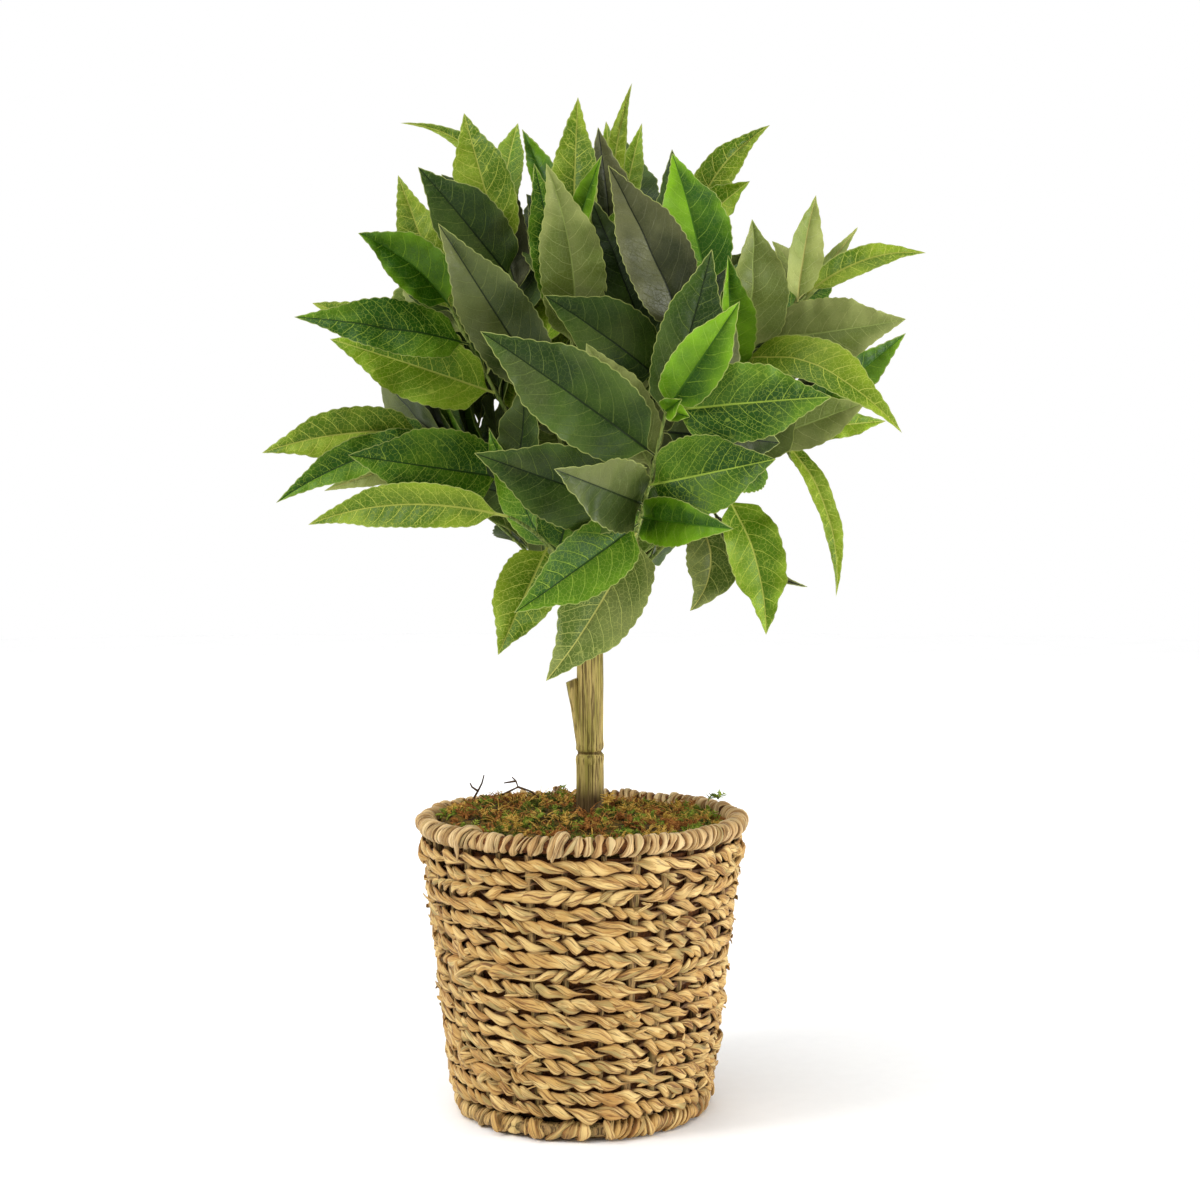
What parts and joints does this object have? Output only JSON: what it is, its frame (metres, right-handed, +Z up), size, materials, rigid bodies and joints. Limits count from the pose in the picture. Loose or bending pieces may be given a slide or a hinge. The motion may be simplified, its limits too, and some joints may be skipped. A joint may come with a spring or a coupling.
{
  "type": "potted artificial bay tree",
  "caption": "Small artificial bay tree with a bare straight trunk and a round leafy crown, set in moss in a round woven seagrass basket.",
  "frame": {"origin": "centre of the basket's flat underside, on the surface that the tree stands on", "axes": "+Z up along the trunk, -Y towards the front of the tree as pictured, +X to the viewer's right"},
  "size_m": [0.3226, 0.3153, 0.5045],
  "materials": {
    "seagrass": "dry twined seagrass rope, matt with a slight straw sheen",
    "rim_seagrass": "flat seagrass strands wrapped round a core, matt",
    "fill": "rough and matt, hidden",
    "moss": "dried reindeer and sheet moss, tufted and matt",
    "bark": "dry fibrous bark, matt",
    "shoot": "moulded green stem, satin",
    "leaf": "printed fabric leaf with a waxed satin face"
  },
  "bodies": {
    "root": {"basket_floor": "seagrass", "basket_foot": "rim_seagrass", "basket_wall": "seagrass", "basket_rim": "rim_seagrass", "potting_fill": "fill", "moss_bed": "moss", "trunk": "bark", "bough_front": "shoot", "bough_left": "shoot", "bough_right": "shoot", "bough_side_left": "shoot", "bough_side_right": "shoot", "bough_back": "shoot", "bough_upper_left": "shoot", "bough_top_left": "shoot", "bough_top_front": "shoot", "bough_top_right": "shoot", "bough_upper_right": "shoot", "bough_back_left": "shoot", "bough_back_right": "shoot", "bough_top": "shoot", "bough_crest": "shoot", "bough_back_top": "shoot", "foliage_front": "leaf", "foliage_low_left": "leaf", "foliage_left": "leaf", "foliage_upper_left": "leaf", "foliage_top_left": "leaf", "foliage_top_front": "leaf", "foliage_top": "leaf", "foliage_crest": "leaf", "foliage_top_right": "leaf", "foliage_upper_right": "leaf", "foliage_right": "leaf", "foliage_low_right": "leaf", "foliage_side_left": "leaf", "foliage_side_right": "leaf", "foliage_back_left": "leaf", "foliage_back_right": "leaf", "foliage_back": "leaf", "foliage_back_top": "leaf", "foliage_low_back_left": "leaf", "foliage_low_back_right": "leaf"}
  },
  "joints": []
}
